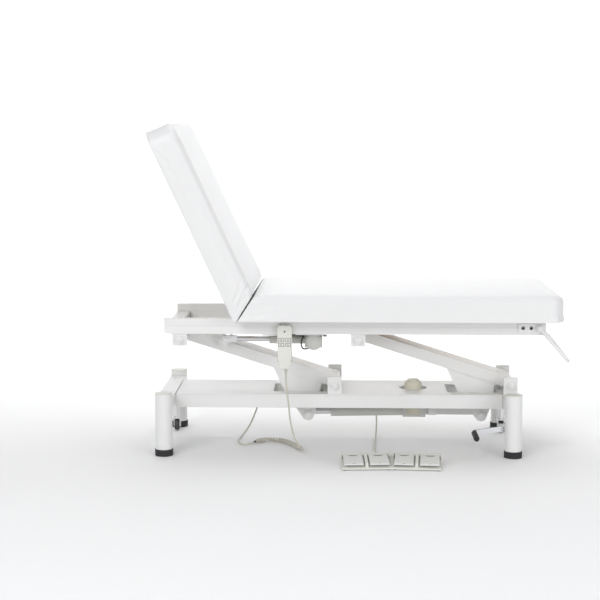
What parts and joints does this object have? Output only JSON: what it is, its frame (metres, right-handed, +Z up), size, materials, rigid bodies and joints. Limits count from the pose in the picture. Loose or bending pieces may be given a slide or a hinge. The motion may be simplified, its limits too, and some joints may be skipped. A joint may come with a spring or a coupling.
{
  "type": "facial_treatment_bed",
  "caption": "Powered facial treatment bed with a parallelogram lift, reclining backrest, wired handset, foot control, roll holder and retractable castors",
  "frame": {"origin": "on the floor, under the centre of the bounding box of the bed with its backrest raised", "axes": "+X from head to foot, +Y away from the side that carries the handset, +Z up"},
  "size_m": [1.4817, 0.7967, 1.1734],
  "materials": {
    "white_coat": "satin powder coat",
    "grey_coat": "satin powder coat",
    "zinc_steel": "zinc plated",
    "bright_chrome": "polished",
    "black_rubber": "matte",
    "black_wheel": "matte",
    "white_vinyl": "soft satin vinyl with a fine grain",
    "plywood": "raw",
    "cream_plastic": "fine texture",
    "off_white_plastic": "fine texture",
    "grey_key": "smooth",
    "cord_grey": "satin",
    "black_plastic": "fine texture"
  },
  "bodies": {
    "base": {"leg_tubes": "white_coat", "rubber_feet": "black_rubber", "cross_members": "white_coat", "base_side_rails": "white_coat", "deck_plate": "white_coat", "lower_pivot_posts": "white_coat", "lower_pivot_shafts": "zinc_steel", "control_box": "off_white_plastic", "mains_inlet": "black_plastic", "cord_glands": "cord_grey", "foot_control_housing": "off_white_plastic", "foot_control_feet": "black_rubber", "pedal_cord": "cord_grey", "handset_cord_tail": "cord_grey", "handset_cord_curl": "cord_grey"},
    "cord_riser": {"handset_cord_riser": "cord_grey"},
    "left_arm": {"left_arm": "white_coat"},
    "right_arm": {"right_arm": "white_coat"},
    "tie_link": {"tie_bar": "grey_coat", "tie_pins": "zinc_steel"},
    "lift_actuator": {"lift_motor": "cream_plastic"},
    "lift_rod": {"lift_rod": "bright_chrome"},
    "top_frame": {"lower_frame_rails": "grey_coat", "upper_frame_rails": "white_coat", "cross_tubes": "grey_coat", "seat_board": "plywood", "seat_cushion": "white_vinyl", "upper_pivot_brackets": "white_coat", "upper_pivot_shafts": "zinc_steel", "accessory_plates": "white_coat", "roll_holder": "bright_chrome", "handset_hook": "white_coat", "handset_housing": "off_white_plastic", "handset_strain_relief": "cord_grey", "back_motor": "cream_plastic", "backrest_hinge_ears": "white_coat", "backrest_hinge_pins": "zinc_steel"},
    "backrest": {"backrest_board": "plywood", "backrest_cushion": "white_vinyl", "backrest_frame": "grey_coat"},
    "back_rod": {"back_rod": "bright_chrome"},
    "castor_lift": {"castor_lift_bars": "zinc_steel"},
    "castor_lever": {"castor_lever": "bright_chrome", "lever_peg_sleeve": "black_rubber"},
    "button_up": {"handset_button_up": "grey_key"},
    "button_down": {"handset_button_down": "grey_key"},
    "button_recline": {"handset_button_recline": "grey_key"},
    "button_sit": {"handset_button_sit": "grey_key"},
    "pedal_1": {"foot_pedal_1": "grey_key"},
    "pedal_2": {"foot_pedal_2": "grey_key"},
    "pedal_3": {"foot_pedal_3": "grey_key"},
    "pedal_4": {"foot_pedal_4": "grey_key"},
    "fork_head_near": {"castor_fork_head_near": "bright_chrome"},
    "wheel_head_near": {"castor_wheel_head_near": "black_wheel"},
    "fork_head_far": {"castor_fork_head_far": "bright_chrome"},
    "wheel_head_far": {"castor_wheel_head_far": "black_wheel"},
    "fork_foot_near": {"castor_fork_foot_near": "bright_chrome"},
    "wheel_foot_near": {"castor_wheel_foot_near": "black_wheel"},
    "fork_foot_far": {"castor_fork_foot_far": "bright_chrome"},
    "wheel_foot_far": {"castor_wheel_foot_far": "black_wheel"}
  },
  "joints": [
    {"name": "lift", "type": "hinge", "parent": "base", "child": "left_arm", "pos_m": [-0.096, 0.07, 0.235], "axis": [0, 1, 0], "range_deg": [-10, 26]},
    {"name": "left_arm_to_frame", "type": "hinge", "parent": "left_arm", "child": "top_frame", "pos_m": [-0.643, 0.07, 0.409], "axis": [0, 1, 0], "range_deg": [-26, 10]},
    {"name": "right_arm_lift", "type": "hinge", "parent": "base", "child": "right_arm", "pos_m": [0.534, 0.07, 0.235], "axis": [0, 1, 0], "range_deg": [-10, 26]},
    {"name": "tie_bar_swing", "type": "hinge", "parent": "left_arm", "child": "tie_link", "pos_m": [-0.193, 0.07, 0.11], "axis": [0, 1, 0], "range_deg": [-26, 10]},
    {"name": "lift_actuator_swing", "type": "hinge", "parent": "base", "child": "lift_actuator", "pos_m": [0.262, 0.07, 0.118], "axis": [0, 1, 0], "range_deg": [-2.4, 6.2]},
    {"name": "lift_rod_slide", "type": "slide", "parent": "lift_actuator", "child": "lift_rod", "axis": [-0.9998, 0, -0.0176], "range_m": [-0.0196, 0.0508]},
    {"name": "handset_cord_follow", "type": "hinge", "parent": "base", "child": "cord_riser", "pos_m": [0.28, -0.171, 0.115], "axis": [0, 1, 0], "range_deg": [-10, 26]},
    {"name": "backrest_recline", "type": "hinge", "parent": "top_frame", "child": "backrest", "pos_m": [-0.444, 0.07, 0.472], "axis": [0, 1, 0], "range_deg": [-65, 1]},
    {"name": "back_rod_slide", "type": "slide", "parent": "top_frame", "child": "back_rod", "axis": [-1, 0, 0], "range_m": [-0.0955, 0.0016]},
    {"name": "button_up_press", "type": "slide", "parent": "top_frame", "child": "button_up", "axis": [0, 1, 0], "range_m": [0, 0.0015], "stiffness_N_per_m": 600, "springref_m": -0.0005},
    {"name": "button_down_press", "type": "slide", "parent": "top_frame", "child": "button_down", "axis": [0, 1, 0], "range_m": [0, 0.0015], "stiffness_N_per_m": 600, "springref_m": -0.0005},
    {"name": "button_recline_press", "type": "slide", "parent": "top_frame", "child": "button_recline", "axis": [0, 1, 0], "range_m": [0, 0.0015], "stiffness_N_per_m": 600, "springref_m": -0.0005},
    {"name": "button_sit_press", "type": "slide", "parent": "top_frame", "child": "button_sit", "axis": [0, 1, 0], "range_m": [0, 0.0015], "stiffness_N_per_m": 600, "springref_m": -0.0005},
    {"name": "pedal_1_press", "type": "hinge", "parent": "base", "child": "pedal_1", "pos_m": [-0.03285, -0.31314, 0.033], "axis": [0.9976, 0.0698, 0], "range_deg": [0, 4.5], "stiffness_Nm_per_rad": 6, "springref_deg": -2.86},
    {"name": "pedal_2_press", "type": "hinge", "parent": "base", "child": "pedal_2", "pos_m": [0.05494, -0.307, 0.033], "axis": [0.9976, 0.0698, 0], "range_deg": [0, 4.5], "stiffness_Nm_per_rad": 6, "springref_deg": -2.86},
    {"name": "pedal_3_press", "type": "hinge", "parent": "base", "child": "pedal_3", "pos_m": [0.14706, -0.307, 0.033], "axis": [0.9976, -0.0698, 0], "range_deg": [0, 4.5], "stiffness_Nm_per_rad": 6, "springref_deg": -2.86},
    {"name": "pedal_4_press", "type": "hinge", "parent": "base", "child": "pedal_4", "pos_m": [0.23485, -0.31314, 0.033], "axis": [0.9976, -0.0698, 0], "range_deg": [0, 4.5], "stiffness_Nm_per_rad": 6, "springref_deg": -2.86},
    {"name": "castor_lever_press", "type": "hinge", "parent": "base", "child": "castor_lever", "pos_m": [0.498, -0.1347, 0.091], "axis": [0, 1, 0], "range_deg": [-32, 0]},
    {"name": "castor_lift_slide", "type": "slide", "parent": "base", "child": "castor_lift", "axis": [0, 0, -1], "range_m": [0, 0.0121]},
    {"name": "castor_swivel_head_near", "type": "hinge", "parent": "castor_lift", "child": "fork_head_near", "pos_m": [-0.699, -0.11, 0.1], "axis": [0, 0, 1], "continuous": true},
    {"name": "castor_spin_head_near", "type": "hinge", "parent": "fork_head_near", "child": "wheel_head_near", "pos_m": [-0.699, -0.124, 0.024], "axis": [1, 0, 0], "continuous": true},
    {"name": "castor_swivel_head_far", "type": "hinge", "parent": "castor_lift", "child": "fork_head_far", "pos_m": [-0.699, 0.25, 0.1], "axis": [0, 0, 1], "continuous": true},
    {"name": "castor_spin_head_far", "type": "hinge", "parent": "fork_head_far", "child": "wheel_head_far", "pos_m": [-0.699, 0.236, 0.024], "axis": [1, 0, 0], "continuous": true},
    {"name": "castor_swivel_foot_near", "type": "hinge", "parent": "castor_lift", "child": "fork_foot_near", "pos_m": [0.534, -0.11, 0.1], "axis": [0, 0, 1], "continuous": true},
    {"name": "castor_spin_foot_near", "type": "hinge", "parent": "fork_foot_near", "child": "wheel_foot_near", "pos_m": [0.534, -0.124, 0.024], "axis": [1, 0, 0], "continuous": true},
    {"name": "castor_swivel_foot_far", "type": "hinge", "parent": "castor_lift", "child": "fork_foot_far", "pos_m": [0.534, 0.25, 0.1], "axis": [0, 0, 1], "continuous": true},
    {"name": "castor_spin_foot_far", "type": "hinge", "parent": "fork_foot_far", "child": "wheel_foot_far", "pos_m": [0.534, 0.236, 0.024], "axis": [1, 0, 0], "continuous": true}
  ],
  "couplings": [
    {"joint": "left_arm_to_frame", "follows": "lift", "ratio": -1},
    {"joint": "right_arm_lift", "follows": "lift", "ratio": 1},
    {"joint": "tie_bar_swing", "follows": "lift", "ratio": -1},
    {"joint": "lift_actuator_swing", "follows": "lift", "ratio": 0.236},
    {"joint": "lift_rod_slide", "follows": "lift", "m_per_rad": 0.1113},
    {"joint": "handset_cord_follow", "follows": "lift", "ratio": 1},
    {"joint": "back_rod_slide", "follows": "backrest_recline", "m_per_rad": 0.084},
    {"joint": "castor_lift_slide", "follows": "castor_lever_press", "m_per_rad": -0.021486}
  ]
}
